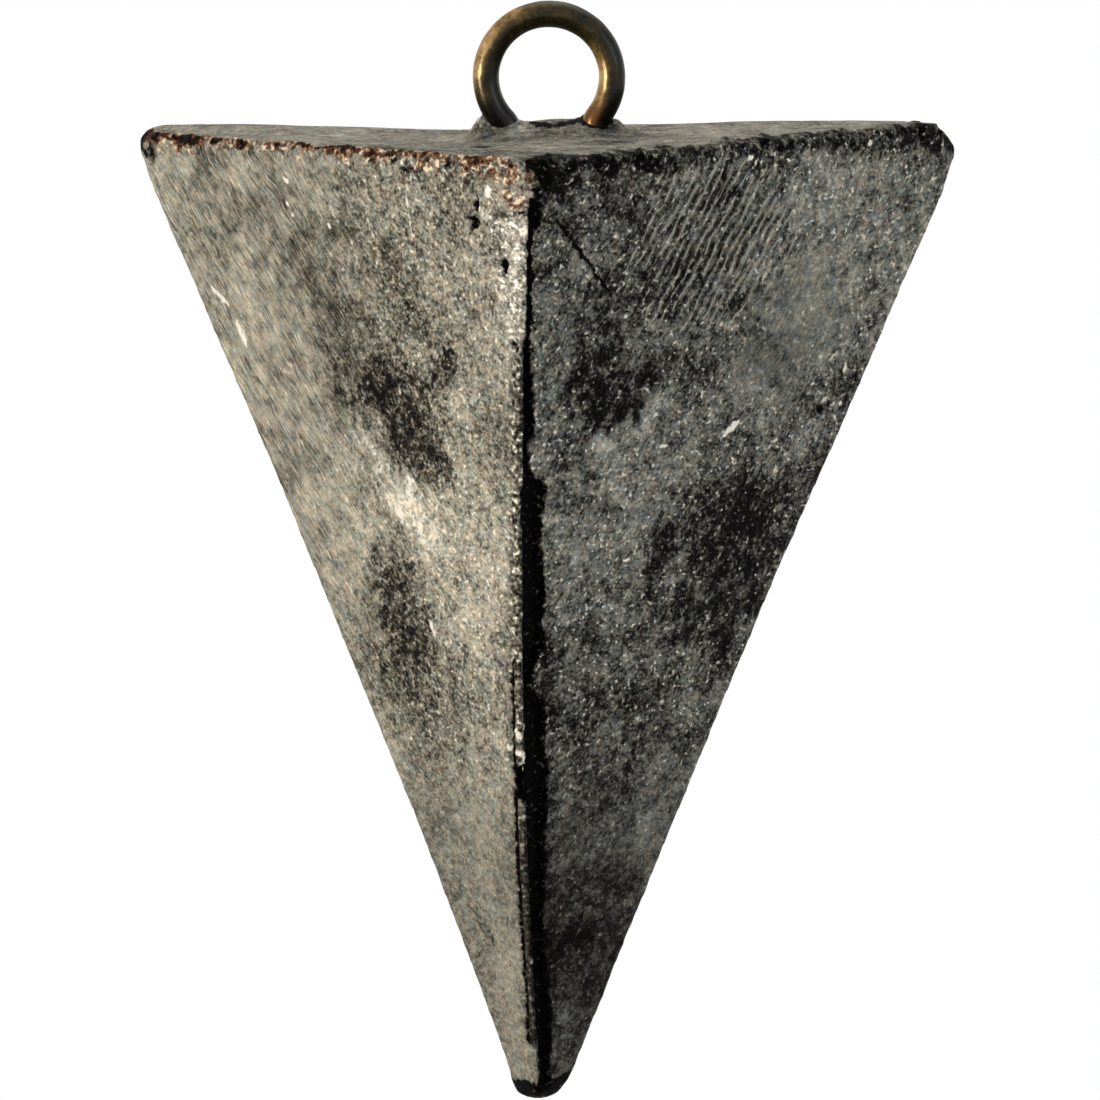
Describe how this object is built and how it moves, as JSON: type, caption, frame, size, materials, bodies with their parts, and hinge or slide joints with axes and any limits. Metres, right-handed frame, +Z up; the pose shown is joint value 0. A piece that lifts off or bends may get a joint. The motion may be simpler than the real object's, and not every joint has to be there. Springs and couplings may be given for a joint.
{
  "type": "pyramid fishing sinker",
  "caption": "Three-sided cast lead pyramid, point down, with a brass wire eye cast into its top: a weight that holds a fishing line on the bottom.",
  "frame": {"origin": "centre of the eye's loop, where the line pulls", "axes": "+Z up, from the tip towards the eye; X along the back edge of the top, in the plane of the loop; the seam edge faces -Y"},
  "size_m": [0.047, 0.0401, 0.0607],
  "materials": {
    "cast_lead": "rough as cast, oxidised grey with darker blotches and brown crust on the top edges",
    "brass_wire": "drawn wire, tarnished brown with worn golden highlights"
  },
  "bodies": {
    "root": {"cast_body": "cast_lead", "wire_eye": "brass_wire"}
  },
  "joints": []
}
